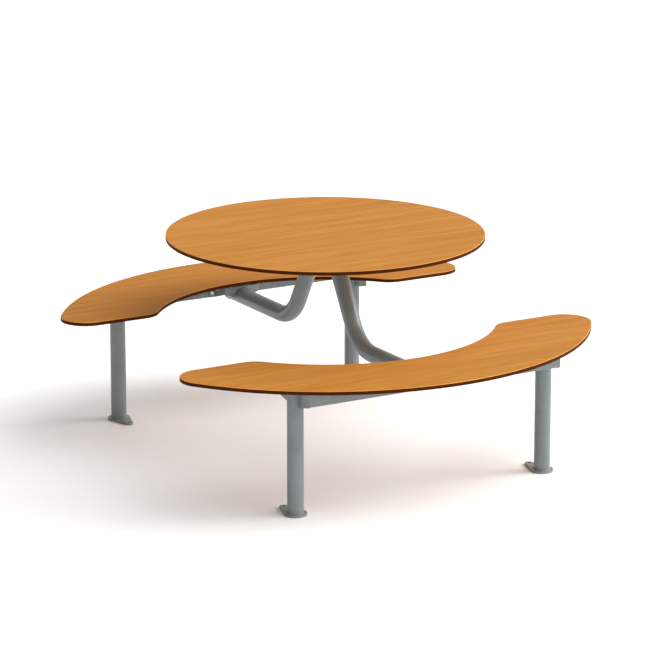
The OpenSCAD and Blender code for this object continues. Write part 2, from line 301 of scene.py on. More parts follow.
def beech(name, brightness):
    """Printed beech decor under a matt film; the figure runs along the benches."""
    finish, tree, shader = new_finish(name, Specular_IOR_Level=0.02)
    boards = cloud(tree, stretched(tree, (0.8, 14, 14)), 1.6, 3, 0.5, 0.4)
    streaks = cloud(tree, stretched(tree, (5, 120, 120)), 1.0, 4, 0.6, 0.3)
    fibres = cloud(tree, stretched(tree, (6, 330, 330)), 1.0, 4, 0.6)
    flecks = add_node(
        tree, "ShaderNodeTexVoronoi", Vector=stretched(tree, (190, 1500, 1500)), Scale=1.0,
        Randomness=1.0,
    ).outputs[0]
    low, middle, high = (
        tuple(brightness * part for part in colour)
        for colour in ((0.438, 0.181, 0.031), (0.481, 0.204, 0.037), (0.520, 0.227, 0.044))
    )
    base = shades(tree, boards, [(0.28, low), (0.5, middle), (0.74, high)])
    soft = shades(tree, streaks, [(0.32, (0.80, 0.64, 0.34)), (0.64, (1.08, 1.16, 1.42))])
    tone = blend_colours(tree, 0.55, base, soft, "MULTIPLY")
    thin = shades(tree, fibres, [(0.38, (0.84, 0.72, 0.52)), (0.56, (1.0, 1.0, 1.0))])
    tone = blend_colours(tree, 0.35, tone, thin, "MULTIPLY")
    dots = grey(tree, flecks, 1, 0, 0.10, 0.22)
    tone = blend_colours(tree, maths(tree, "MULTIPLY", dots, 0.3), tone, (0.22, 0.075, 0.02, 1))
    tree.links.new(tone, shader.inputs["Base Color"])
    tree.links.new(grey(tree, streaks, 0.46, 0.56), shader.inputs["Roughness"])
    relief(tree, shader, fibres, 0.2, 0.0001)
    return finish


def brown_core():
    finish, tree, shader = new_finish("dark_laminate_core", Specular_IOR_Level=0.03)
    layers = cloud(tree, stretched(tree, (9, 9, 2600)), 1.0, 3, 0.6)
    patches = cloud(tree, stretched(tree, (14, 14, 40)), 1.0, 4, 0.6)
    saw = cloud(tree, stretched(tree, (420, 420, 60)), 1.0, 2, 0.5)
    base = shades(tree, layers, [
        (0.3, (0.040, 0.0085, 0.0015)), (0.55, (0.058, 0.0125, 0.0022)), (0.75, (0.080, 0.018, 0.0032)),
    ])
    tone = blend_colours(
        tree, grey(tree, patches, 0.0, 0.4), base, (0.075, 0.018, 0.0035, 1)
    )
    tree.links.new(tone, shader.inputs["Base Color"])
    tree.links.new(grey(tree, patches, 0.38, 0.58), shader.inputs["Roughness"])
    relief(tree, shader, maths(tree, "ADD", saw, layers), 0.3, 0.00015)
    return finish


def grey_paint():
    finish, tree, shader = new_finish(
        "grey_painted_steel", Metallic=0.2, Specular_IOR_Level=0.35
    )
    peel = cloud(tree, stretched(tree, (1, 1, 1)), 620, 2, 0.5)
    mottle = cloud(tree, stretched(tree, (1, 1, 1)), 9, 5, 0.6)
    flakes = cloud(tree, stretched(tree, (1, 1, 1)), 2600, 1, 0.5)
    base = shades(tree, mottle, [
        (0.3, (0.166, 0.193, 0.198)), (0.55, (0.190, 0.218, 0.222)), (0.75, (0.212, 0.241, 0.244)),
    ])
    glint = shades(tree, flakes, [(0.42, (0.93, 0.93, 0.93)), (0.62, (1.10, 1.10, 1.10))])
    tone = blend_colours(tree, 0.5, base, glint, "MULTIPLY")
    worn = edge_wear(tree, 0.53, 0.62)
    tone = blend_colours(tree, maths(tree, "MULTIPLY", worn, 0.3), tone, (0.30, 0.32, 0.32, 1))
    low = grey(tree, height_of(tree), 1, 0, 0.0, 0.07)
    dust = maths(tree, "MULTIPLY", low, grey(tree, mottle, 0.0, 0.35))
    tone = blend_colours(tree, dust, tone, (0.25, 0.245, 0.23, 1))
    tree.links.new(tone, shader.inputs["Base Color"])
    tree.links.new(
        maths(tree, "ADD", grey(tree, mottle, 0.29, 0.38), maths(tree, "MULTIPLY", dust, 0.4)),
        shader.inputs["Roughness"],
    )
    relief(tree, shader, peel, 0.18, 0.0002)
    return finish


def bright_steel():
    finish, tree, shader = new_finish("stainless_fasteners", Metallic=1.0)
    brushed = cloud(tree, stretched(tree, (900, 900, 60)), 1.0, 3, 0.6)
    marks = cloud(tree, stretched(tree, (1, 1, 1)), 240, 5, 0.65)
    base = shades(tree, marks, [(0.3, (0.58, 0.59, 0.60)), (0.7, (0.74, 0.75, 0.76))])
    worn = edge_wear(tree, 0.52, 0.60)
    tone = blend_colours(tree, worn, base, (0.82, 0.83, 0.84, 1))
    tree.links.new(tone, shader.inputs["Base Color"])
    tree.links.new(grey(tree, brushed, 0.20, 0.36), shader.inputs["Roughness"])
    relief(tree, shader, maths(tree, "ADD", brushed, marks), 0.15, 0.00005)
    return finish


def insert_brass():
    finish, tree, shader = new_finish("brass_inserts", Metallic=1.0)
    tarnish = cloud(tree, stretched(tree, (1, 1, 1)), 180, 5, 0.6)
    turned = cloud(tree, stretched(tree, (60, 60, 3200)), 1.0, 2, 0.5)
    base = shades(tree, tarnish, [(0.35, (0.33, 0.21, 0.075)), (0.65, (0.60, 0.43, 0.18))])
    tree.links.new(base, shader.inputs["Base Color"])
    tree.links.new(grey(tree, tarnish, 0.45, 0.25), shader.inputs["Roughness"])
    relief(tree, shader, turned, 0.3, 0.00006)
    return finish


# A darkened copy of the stainless finish for the bolts and washers under the panels: painted shade, with
# lighter worn edges.
def shaded_stainless():
    finish, tree, shader = new_finish("panel_bolts_painted_shade", Metallic=1.0)
    blotches = cloud(tree, stretched(tree, (1, 1, 1)), 160, 5, 0.65)
    rolled = cloud(tree, stretched(tree, (700, 700, 700)), 1.0, 3, 0.6)
    base = shades(tree, blotches, [(0.3, (0.20, 0.21, 0.21)), (0.7, (0.34, 0.35, 0.35))])
    worn = edge_wear(tree, 0.52, 0.60)
    tone = blend_colours(tree, maths(tree, "MULTIPLY", worn, 0.5), base, (0.50, 0.51, 0.51, 1))
    tree.links.new(tone, shader.inputs["Base Color"])
    tree.links.new(grey(tree, blotches, 0.62, 0.42), shader.inputs["Roughness"])
    relief(tree, shader, maths(tree, "ADD", rolled, blotches), 0.2, 0.00006)
    return finish


BEECH = beech("beech_laminate_face", 1.0)
# The rounded rim faces take a 1.5 times brighter copy of the decor: a painted highlight along the panel
# edges.
BEECH_PAINTED_HIGHLIGHT = beech("beech_rim_painted_highlight", 1.5)
CORE = brown_core()
PAINT = grey_paint()
STAINLESS = bright_steel()
BRASS = insert_brass()
# The last finish is the stainless finish darkened as painted shade.
SHADED_STAINLESS = shaded_stainless()


# Shaping

def finish_piece(name, bm, finishes, slot, *nodes):
    mesh = bpy.data.meshes.new(name)
    bmesh.ops.scale(bm, vec=(MM, MM, MM), verts=bm.verts)
    bm.to_mesh(mesh)
    bm.free()
    for finish in finishes:
        mesh.materials.append(finish)
    mesh.polygons.foreach_set("use_smooth", [True] * len(mesh.polygons))
    mesh.set_sharp_from_angle(angle=math.radians(50))
    piece = bpy.data.objects.new(name, mesh)
    bpy.context.scene.collection.objects.link(piece)
    even = piece.modifiers.new("even_shading", "WEIGHTED_NORMAL")
    even.keep_sharp = True
    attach(piece, "root")
    if nodes:
        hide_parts(*nodes)


def verts_in(result, key="geom"):
    return [item for item in result[key] if isinstance(item, bmesh.types.BMVert)]


def edges_in(result, key="geom"):
    return [item for item in result[key] if isinstance(item, bmesh.types.BMEdge)]


def to_corner(bm, side_x, side_y):
    """Mirrors what is drawn in the back right quarter into the quarter with these signs."""
    bmesh.ops.transform(bm, matrix=Matrix.Diagonal((side_x, side_y, 1, 1)), verts=bm.verts)
    if side_x * side_y < 0:
        bmesh.ops.reverse_faces(bm, faces=bm.faces)
    return bm


def gather(parts):
    """Joins several drawn shapes into one."""
    whole = bmesh.new()
    for part in parts:
        scrap = bpy.data.meshes.new("scrap")
        part.to_mesh(scrap)
        part.free()
        whole.from_mesh(scrap)
        bpy.data.meshes.remove(scrap)
    return whole


class Rim:
    """An outline drawn point by point with lines and arcs."""

    def __init__(self, bm, point):
        self.bm = bm
        self.tip = bm.verts.new(point)

    def line(self, point):
        grown = bmesh.ops.extrude_vert_indiv(self.bm, verts=[self.tip])
        self.tip = grown["verts"][0]
        self.tip.co = point

    def arc(self, centre, degrees, steps):
        turned = bmesh.ops.spin(
            self.bm, geom=[self.tip], cent=centre, axis=(0, 0, 1), dvec=(0, 0, 0),
            angle=math.radians(degrees), steps=steps,
        )
        self.tip = verts_in(turned, "geom_last")[0]

    def close(self):
        bmesh.ops.remove_doubles(self.bm, verts=self.bm.verts, dist=NEAR)
        return self.bm.edges[:]


def rounded_rim(bm, x0, y0, x1, y1, corner):
    """Draws a rectangle with round corners, in the plane of the drawing."""
    corners = [bm.verts.new((x, y, 0)) for x, y in ((x0, y0), (x1, y0), (x1, y1), (x0, y1))]
    bm.faces.new(corners)
    bmesh.ops.bevel(
        bm, geom=corners, offset=corner, offset_type="OFFSET", segments=6,
        profile=0.5, affect="VERTICES", material=-1,
    )
    bmesh.ops.delete(bm, geom=bm.faces[:], context="FACES_ONLY")


def rounded_corners(points, rounds):
    """A closed outline through these points; each corner has its own radius."""
    bm = bmesh.new()
    corners = [bm.verts.new((x, y, 0)) for x, y in points]
    bm.faces.new(corners)
    for corner, radius in zip(corners, rounds):
        if radius:
            bmesh.ops.bevel(
                bm, geom=[corner], offset=radius, offset_type="OFFSET", segments=4,
                profile=0.5, affect="VERTICES", material=-1,
            )
    bmesh.ops.delete(bm, geom=bm.faces[:], context="FACES_ONLY")
    return bm


def hole(bm, x, y, radius, sides=32):
    bmesh.ops.create_circle(
        bm, cap_ends=False, radius=radius, segments=sides, matrix=Matrix.Translation((x, y, 0))
    )


def thicken(bm, low, high, soften=0.5):
    """Fills the drawn rims, leaves the holes open, and raises a plate with softened edges."""
    bmesh.ops.triangle_fill(bm, use_beauty=True, use_dissolve=False, edges=bm.edges[:])
    bmesh.ops.translate(bm, vec=(0, 0, low + soften), verts=bm.verts)
    under = bm.faces[:]
    raised = bmesh.ops.extrude_face_region(bm, geom=under)
    bmesh.ops.translate(bm, vec=(0, 0, high - low - 2 * soften), verts=verts_in(raised))
    bmesh.ops.recalc_face_normals(bm, faces=bm.faces)
    over = [item for item in raised["geom"] if isinstance(item, bmesh.types.BMFace)]
    for side in (over, [f for f in under if f.is_valid]):
        bmesh.ops.inset_region(
            bm, faces=side, thickness=soften, depth=soften, use_boundary=True,
            use_even_offset=True,
        )
    return bm


def stand_up(bm, x):
    """Turns a plate drawn in Y and Z upright, with its drawn height along X from x on."""
    turn = Matrix(((0, 0, 1, x), (1, 0, 0, 0), (0, 1, 0, 0), (0, 0, 0, 1)))
    bmesh.ops.transform(bm, matrix=turn, verts=bm.verts)
    return bm


def turned(profile, centre, steps):
    """A solid of revolution about the upright axis through centre, from radius and height."""
    bm = bmesh.new()
    chain = [(r, bm.verts.new((centre[0] + r, centre[1], z))) for r, z in profile]
    for (first_r, first), (second_r, second) in zip(chain, chain[1:] + chain[:1]):
        if first_r or second_r:
            bm.edges.new((first, second))
    bmesh.ops.spin(
        bm, geom=bm.verts[:] + bm.edges[:], cent=(*centre, 0), axis=(0, 0, 1), dvec=(0, 0, 0),
        angle=2 * math.pi, steps=steps, use_merge=True,
    )
    bmesh.ops.remove_doubles(bm, verts=bm.verts, dist=MERGE)
    bmesh.ops.recalc_face_normals(bm, faces=bm.faces)
    return bm


def tube_ring(centre, outer, wall, low, high, steps=64, soften=0.4):
    inner = outer - wall
    return turned([
        (inner, low + soften), (inner + soften, low), (outer - soften, low), (outer, low + soften),
        (outer, high - soften), (outer - soften, high), (inner + soften, high), (inner, high - soften),
    ], centre, steps)


# Laminate panels

def raise_panel(bm, rim, pockets, under):
    """Makes a panel of full thickness over a closed rim, with pockets in its underside."""
    for x, y in pockets:
        hole(bm, x, y, POCKET, 24)
    holes = [e for e in bm.edges if e not in rim]
    bmesh.ops.triangle_fill(bm, use_beauty=True, use_dissolve=False, edges=bm.edges[:])
    for edges, lift in ((rim, PANEL), (holes, POCKET_DEPTH)):
        walls = bmesh.ops.extrude_edge_only(bm, edges=edges)
        bmesh.ops.translate(bm, vec=(0, 0, lift), verts=verts_in(walls))
        bmesh.ops.edgeloop_fill(bm, edges=[
            e for e in edges_in(walls) if all(abs(v.co.z - lift) < NEAR for v in e.verts)
        ])
    bmesh.ops.recalc_face_normals(bm, faces=bm.faces)
    for level, radius, steps in ((PANEL, RIM_TOP, 5), (0, RIM_UNDER, 3)):
        edges = [
            e for e in bm.edges
            if len(e.link_faces) == 2 and e.calc_face_angle() > 1
            and all(abs(v.co.z - level) < NEAR for v in e.verts)
            and any(abs(f.calc_center_median().z - PANEL / 2) < NEAR for f in e.link_faces)
        ]
        bmesh.ops.bevel(
            bm, geom=edges, offset=radius, offset_type="OFFSET", segments=steps,
            profile=0.5, affect="EDGES", material=-1,
        )
    # Flat faces take the decor and steep faces the dark core; the rounded rim faces between them take the
    # brighter copy, a painted highlight.
    for face in bm.faces:
        face.normal_update()
        slope = abs(face.normal.z)
        face.material_index = 0 if slope > RIM_FLAT else 2 if slope > RIM_STEEP else 1
    bmesh.ops.translate(bm, vec=(0, 0, under), verts=bm.verts)
    return bm


def table_panel():
    bm = bmesh.new()
    hole(bm, 0, 0, TABLE_RADIUS, 256)
    rim = bm.edges[:]
    pockets = [(x, side * y) for side in SIDES for x, y in TABLE_BOLTS]
    raise_panel(bm, rim, pockets, TABLE_HEIGHT - PANEL)
    finish_piece("table_panel", bm, [BEECH, CORE, BEECH_PAINTED_HIGHLIGHT], "laminate", "table_top")


def seat_panel(side, name, node):
    tip_y = SEAT_END + TIP
    tip = (math.sqrt((SEAT_OUTER - TIP) ** 2 - (tip_y + OUTER_SHIFT) ** 2), tip_y)
    shoulder = (
        math.sqrt((SEAT_INNER + SHOULDER) ** 2 - (SEAT_END + SHOULDER) ** 2), SEAT_END + SHOULDER
    )
    tip_at = math.degrees(math.atan2(tip[1] + OUTER_SHIFT, tip[0]))
    shoulder_at = math.degrees(math.atan2(shoulder[1], shoulder[0]))
    bm = bmesh.new()
    pen = Rim(bm, (tip[0], SEAT_END, 0))
    pen.arc((*tip, 0), 90 + tip_at, 24)
    pen.arc((0, -OUTER_SHIFT, 0), 180 - 2 * tip_at, 120)
    pen.arc((-tip[0], tip[1], 0), 90 + tip_at, 24)
    pen.line((-shoulder[0], SEAT_END, 0))
    pen.arc((-shoulder[0], shoulder[1], 0), 90 - shoulder_at, 14)
    pen.arc((0, 0, 0), -(180 - 2 * shoulder_at), 84)
    pen.arc((*shoulder, 0), 90 - shoulder_at, 14)
    pen.line((tip[0], SEAT_END, 0))
    rim = pen.close()
    raise_panel(bm, rim, SEAT_BOLTS, SEAT_HEIGHT - PANEL)
    to_corner(bm, 1, side)
    finish_piece(name, bm, [BEECH, CORE, BEECH_PAINTED_HIGHLIGHT], "laminate", node)


# Steel plates and tubes

def leg(side_x, side_y):
    tube = tube_ring((LEG_X, LEG_Y), LEG, LEG_WALL, FOOT_THICK, RAIL_TOP)
    return to_corner(tube, side_x, side_y)


def foot(side_x, side_y):
    swing = math.degrees(math.acos((FOOT - EAR) / EAR_REACH))
    bm = bmesh.new()
    ear = (0, -EAR_REACH, 0)
    turn = math.radians(swing)
    pen = Rim(bm, (FOOT * math.sin(turn), -FOOT * math.cos(turn), 0))
    pen.arc((0, 0, 0), 360 - 2 * swing, 64)
    pen.line((-EAR * math.sin(turn), -EAR_REACH - EAR * math.cos(turn), 0))
    pen.arc(ear, 2 * swing, 24)
    pen.line((FOOT * math.sin(turn), -FOOT * math.cos(turn), 0))
    pen.close()
    hole(bm, 0, -EAR_REACH, ANCHOR)
    thicken(bm, 0, FOOT_THICK, soften=0.8)
    bmesh.ops.translate(bm, vec=(LEG_X, LEG_Y, 0), verts=bm.verts)
    return to_corner(bm, side_x, side_y)


def rail(side_y):
    bm = bmesh.new()
    y, z = RAIL_IN + RAIL_WIDE / 2, RAIL_TOP - RAIL_HIGH / 2
    for shrink in (0, RAIL_WALL):
        rounded_rim(
            bm, y - RAIL_WIDE / 2 + shrink, z - RAIL_HIGH / 2 + shrink,
            y + RAIL_WIDE / 2 - shrink, z + RAIL_HIGH / 2 - shrink, RAIL_CORNER - shrink,
        )
    thicken(bm, 0, 2 * RAIL_HALF, soften=0.3)
    return to_corner(stand_up(bm, -RAIL_HALF), 1, side_y)


def arm(side_y):
    bm = bmesh.new()
    face_y = Matrix.Translation((0, RAIL_IN, ARM_Z)) @ Matrix.Rotation(math.pi / 2, 4, "X")
    bmesh.ops.create_circle(bm, cap_ends=False, radius=ARM, segments=64, matrix=face_y)
    run = bmesh.ops.extrude_edge_only(bm, edges=bm.edges[:])
    bmesh.ops.translate(bm, vec=(0, BEND_Y - RAIL_IN, 0), verts=verts_in(run))
    ring = [e for e in edges_in(run) if all(abs(v.co.y - BEND_Y) < NEAR for v in e.verts)]
    bend = bmesh.ops.spin(
        bm, geom=ring, cent=(0, BEND_Y, ARM_Z + BEND), axis=(1, 0, 0), dvec=(0, 0, 0),
        angle=LEAN - math.pi / 2, steps=24,
    )
    up = bmesh.ops.extrude_edge_only(bm, edges=edges_in(bend, "geom_last"))
    bmesh.ops.translate(
        bm, vec=(0, -math.sin(LEAN) * UPRIGHT, math.cos(LEAN) * UPRIGHT), verts=verts_in(up)
    )
    bmesh.ops.bisect_plane(
        bm, geom=bm.verts[:] + bm.edges[:] + bm.faces[:], plane_co=(0, 0, ARM_TOP),
        plane_no=(0, 0, 1), clear_outer=True,
    )
    bmesh.ops.remove_doubles(bm, verts=bm.verts, dist=MERGE)
    bmesh.ops.recalc_face_normals(bm, faces=bm.faces)
    bmesh.ops.solidify(bm, geom=bm.faces[:], thickness=ARM_WALL)
    for vert in bm.verts:
        if vert.co.z > ARM_TOP - ARM_WALL:
            vert.co.z = ARM_TOP
    bmesh.ops.recalc_face_normals(bm, faces=bm.faces)
    return to_corner(bm, 1, side_y)


def flat_plate(x0, y0, x1, y1, low, thick, holes):
    bm = bmesh.new()
    rounded_rim(bm, x0, y0, x1, y1, PLATE_CORNER)
    for x, y in holes:
        hole(bm, x, y, BOLT_HOLE, 24)
    return thicken(bm, low, low + thick)


def leg_bracket(side_x, side_y):
    outer_y = RAIL_IN + RAIL_WIDE / 2
    holes = [(x, y) for x, y in SEAT_BOLTS if x > LEG_X - BRACKET_HALF]
    parts = [flat_plate(
        LEG_X - BRACKET_HALF, BRACKET_IN, LEG_X + BRACKET_HALF, outer_y, RAIL_TOP,
        BRACKET_THICK, holes,
    )]
    low, outer = RAIL_TOP - GUSSET_MID, RAIL_IN + RAIL_WIDE
    nose, near, far = LEG_Y - GUSSET_REACH, LEG_Y - GUSSET_GAP, LEG_Y + GUSSET_GAP
    for points, rounds in (
        ([(nose, RAIL_TOP), (nose, RAIL_TOP - GUSSET_NOSE), (near, low), (near, RAIL_TOP)],
         (0, GUSSET_ROUND, 0, 0)),
        ([(far, RAIL_TOP), (far, low), (outer, RAIL_TOP - RAIL_HIGH), (outer, RAIL_TOP)],
         (0, 0, RAIL_CORNER, RAIL_END_ROUND)),
    ):
        wing = thicken(rounded_corners(points, rounds), 0, GUSSET_THICK)
        parts.append(stand_up(wing, LEG_X - GUSSET_THICK / 2))
    return to_corner(gather(parts), side_x, side_y)


def seat_plate(side_y):
    return to_corner(flat_plate(
        -SEAT_PLATE_HALF, SEAT_PLATE_IN, SEAT_PLATE_HALF, RAIL_IN + RAIL_WIDE / 2, RAIL_TOP,
        BRACKET_THICK, [(x, y) for x, y in SEAT_BOLTS if abs(x) < SEAT_PLATE_HALF],
    ), 1, side_y)


def table_plate(side_y):
    return to_corner(flat_plate(
        -TABLE_PLATE_HALF, TABLE_PLATE_IN, TABLE_PLATE_HALF, TABLE_PLATE_OUT, ARM_TOP,
        TABLE_PLATE_THICK, TABLE_BOLTS,
    ), 1, side_y)


def folded_half():
    """The inner skin of the right half of the bracket that hangs the arm: front, fold,
    cheek, fold, flange."""
    middle = HANGER_FRONT + HANGER_THICK
    cheek_x = HANGER_HALF - HANGER_THICK
    fold = HANGER_FOLD
    reach = RAIL_IN - fold
    flange_top = HANGER_LOW + FLANGE_HIGH
    bm = bmesh.new()
    pen = Rim(bm, (0, ARM_Z + HANGER_NOTCH, 0))
    lower = RAIL_TOP - HANGER_MID
    swing = 90 + math.degrees(math.asin((ARM_Z - lower) / HANGER_NOTCH))
    pen.arc((0, ARM_Z, 0), -swing, 16)
    pen.line((HANGER_MID_HALF, lower, 0))
    slant = HANGER_SIDE + (HANGER_MID - HANGER_SIDE) * fold / (HANGER_HALF - HANGER_MID_HALF)
    pen.line((cheek_x - fold, RAIL_TOP - slant, 0))
    pen.line((cheek_x - fold, RAIL_TOP, 0))
    pen.line((0, RAIL_TOP, 0))
    pen.line((0, ARM_Z + HANGER_NOTCH, 0))
    rim = pen.close()
    bmesh.ops.edgeloop_fill(bm, edges=rim)
    to_xz = Matrix(((1, 0, 0, 0), (0, 0, 1, middle), (0, 1, 0, 0), (0, 0, 0, 1)))
    bmesh.ops.transform(bm, matrix=to_xz, verts=bm.verts)
    side = [
        e for e in bm.edges if all(abs(v.co.x - cheek_x + fold) < NEAR for v in e.verts)
    ]
    corner = bmesh.ops.spin(
        bm, geom=side, cent=(cheek_x - fold, middle + fold, 0), axis=(0, 0, 1),
        dvec=(0, 0, 0), angle=math.pi / 2, steps=FOLD_STEPS,
    )
    cheek = bmesh.ops.extrude_edge_only(bm, edges=edges_in(corner, "geom_last"))
    for vert in verts_in(cheek):
        vert.co.y = reach
        if vert.co.z < RAIL_TOP - 1:
            vert.co.z = HANGER_LOW
    back = [e for e in edges_in(cheek) if all(abs(v.co.y - reach) < NEAR for v in e.verts)]
    bmesh.ops.subdivide_edges(bm, edges=back, cuts=1)
    for vert in bm.verts:
        if abs(vert.co.y - reach) < NEAR and HANGER_LOW + 1 < vert.co.z < RAIL_TOP - 1:
            vert.co.z = flange_top
    lower_back = [
        e for e in bm.edges
        if all(abs(v.co.y - reach) < NEAR and v.co.z < flange_top + NEAR for v in e.verts)
    ]
    corner = bmesh.ops.spin(
        bm, geom=lower_back, cent=(cheek_x + fold, reach, 0), axis=(0, 0, 1), dvec=(0, 0, 0),
        angle=-math.pi / 2, steps=FOLD_STEPS,
    )
    flange = bmesh.ops.extrude_edge_only(bm, edges=edges_in(corner, "geom_last"))
    for vert in verts_in(flange):
        vert.co.x = HANGER_HALF + FLANGE
    return bm


def hanger(side_y):
    left = to_corner(folded_half(), -1, 1)
    bm = gather([folded_half(), left])
    bmesh.ops.remove_doubles(bm, verts=bm.verts, dist=NEAR)
    bmesh.ops.recalc_face_normals(bm, faces=bm.faces)
    front = min(bm.faces, key=lambda f: f.calc_center_median().y)
    front.normal_update()
    if front.normal.y < 0:
        bmesh.ops.reverse_faces(bm, faces=bm.faces)
    bmesh.ops.solidify(bm, geom=bm.faces[:], thickness=HANGER_THICK)
    bmesh.ops.recalc_face_normals(bm, faces=bm.faces)
    return to_corner(bm, 1, side_y)


# Fasteners

def hex_rim(bm, flats, z, turn=0.0):
    matrix = Matrix.Translation((0, 0, z)) @ Matrix.Rotation(turn, 4, "Z")
    return bmesh.ops.create_circle(
        bm, cap_ends=True, radius=flats / 2 / math.cos(math.pi / 6), segments=6, matrix=matrix
    )


def hex_head(flats, high, turn):
    """A six-sided head with its outer corners chamfered, from z = -high to 0."""
    bm = bmesh.new()
    hex_rim(bm, flats, 0, turn)
    raised = bmesh.ops.extrude_face_region(bm, geom=bm.faces[:])
    bmesh.ops.translate(bm, vec=(0, 0, -high + HEAD_CHAMFER), verts=verts_in(raised))
    bmesh.ops.recalc_face_normals(bm, faces=bm.faces)
    lowest = min(bm.faces, key=lambda f: f.calc_center_median().z)
    bmesh.ops.inset_region(
        bm, faces=[lowest], thickness=HEAD_CHAMFER_IN, depth=HEAD_CHAMFER, use_boundary=True
    )
    return bm


def shank(radius, low, high, steps=24):
    return turned([
        (0, low), (radius - SHANK_START, low), (radius, low + SHANK_START),
        (radius, high - SHANK_POINT), (radius - SHANK_POINT, high), (0, high),
    ], (0, 0), steps)


def at(bm, x, y, z):
    bmesh.ops.translate(bm, vec=(x, y, z), verts=bm.verts)
    return bm


def panel_bolt(x, y, z):
    turn = random.uniform(0, math.pi / 3)
    bolt = gather([hex_head(BOLT_FLATS, BOLT_HEAD, turn), shank(BOLT, 0, BOLT_LENGTH)])
    return at(bolt, x, y, z - WASHER_THICK)


def washer(x, y, z):
    return tube_ring((x, y), WASHER, WASHER - BOLT_HOLE, z - WASHER_THICK, z, steps=32, soften=0.25)


def insert(x, y, z):
    wall = INSERT - BOLT - THREAD_GAP
    return tube_ring((x, y), INSERT, wall, z, z + INSERT_LENGTH, steps=32, soften=0.3)


def along_y(bm, x, y, z):
    """Turns a shape drawn up its axis so that its top points along Y, and places it."""
    turn = Matrix.Translation((x, y, z)) @ Matrix.Rotation(-math.pi / 2, 4, "X")
    bmesh.ops.transform(bm, matrix=turn, verts=bm.verts)
    return bm


def domed_bolt():
    """A domed head with a six-sided key socket, and its shank."""
    bm = bmesh.new()
    ball = (DOME ** 2 + DOME_HIGH ** 2) / (2 * DOME_HIGH)

    def crown_z(radius):
        return -DOME_HIGH + ball - math.sqrt(ball ** 2 - radius ** 2)

    key = hex_rim(bm, KEY_FLATS, -DOME_HIGH + KEY_SINK)
    socket_rim = list(dict.fromkeys(e for v in key["verts"] for e in v.link_edges))
    bmesh.ops.delete(bm, geom=bm.faces[:], context="FACES_ONLY")
    top = bmesh.ops.create_circle(
        bm, cap_ends=False, radius=KEY_RIM, segments=48,
        matrix=Matrix.Translation((0, 0, crown_z(KEY_RIM))),
    )
    crown = list(dict.fromkeys(e for v in top["verts"] for e in v.link_edges))
    bmesh.ops.bridge_loops(bm, edges=socket_rim + crown)
    sink = bmesh.ops.extrude_edge_only(bm, edges=socket_rim)
    bmesh.ops.translate(bm, vec=(0, 0, DOME_HIGH / 2), verts=verts_in(sink))
    floor_z = KEY_SINK - DOME_HIGH / 2
    bmesh.ops.edgeloop_fill(bm, edges=[
        e for e in edges_in(sink) if all(abs(v.co.z - floor_z) < NEAR for v in e.verts)
    ])
    edge = crown
    for step in range(1, 7):
        radius = KEY_RIM + (DOME - KEY_RIM) * step / 6
        grown = bmesh.ops.extrude_edge_only(bm, edges=edge)
        for vert in verts_in(grown):
            reach = math.hypot(vert.co.x, vert.co.y)
            vert.co = (vert.co.x * radius / reach, vert.co.y * radius / reach, crown_z(radius))
        new = set(verts_in(grown))
        edge = [e for e in edges_in(grown) if all(v in new for v in e.verts)]
    bmesh.ops.edgeloop_fill(bm, edges=edge)
    bmesh.ops.recalc_face_normals(bm, faces=bm.faces)
    return gather([bm, shank(HANGER_BOLT, 0, HANGER_BOLT_LENGTH, 32)])


def hanger_nut():
    bm = bmesh.new()
    hex_rim(bm, NUT_FLATS, 0, math.pi / 6)
    bmesh.ops.delete(bm, geom=bm.faces[:], context="FACES_ONLY")
    hole(bm, 0, 0, HANGER_BOLT + THREAD_GAP, 36)
    return thicken(bm, 0, NUT_HIGH, soften=0.6)


# Welds

def bead(points, size, closed):
    """A weld bead with fine ripples along these points."""
    curve = bpy.data.curves.new("bead", "CURVE")
    curve.dimensions = "3D"
    curve.bevel_depth = size
    curve.bevel_resolution = 2
    curve.use_fill_caps = True
    line = curve.splines.new("POLY")
    line.points.add(len(points) - 1)
    line.use_cyclic_u = closed
    for index, (spot, place) in enumerate(zip(line.points, points)):
        spot.co = (*place, 1)
        spot.radius = 1 + 0.10 * math.sin(index * 2.1) + random.uniform(-0.05, 0.05)
    holder = bpy.data.objects.new("bead", curve)
    bpy.context.scene.collection.objects.link(holder)
    bpy.context.view_layer.update()
    mesh = bpy.data.meshes.new_from_object(
        holder.evaluated_get(bpy.context.evaluated_depsgraph_get())
    )
    bm = bmesh.new()
    bm.from_mesh(mesh)
    bpy.data.objects.remove(holder)
    bpy.data.meshes.remove(mesh)
    bmesh.ops.remove_doubles(bm, verts=bm.verts, dist=MERGE)
    bmesh.ops.recalc_face_normals(bm, faces=bm.faces)
    return bm


def round_path(centre, radius, z, stretch=1.0):
    steps = int(2 * math.pi * radius / RIPPLE)
    return [
        (centre[0] + radius * math.cos(2 * math.pi * k / steps),
         centre[1] + stretch * radius * math.sin(2 * math.pi * k / steps), z)
        for k in range(steps)
    ]


def straight_path(start, end):
    start, end = Vector(start), Vector(end)
    steps = max(int((end - start).length / RIPPLE), 2)
    return [tuple(start.lerp(end, k / steps)) for k in range(steps + 1)]


def straight_bead(start, end, size=EDGE_WELD):
    return bead(straight_path(start, end), size, False)


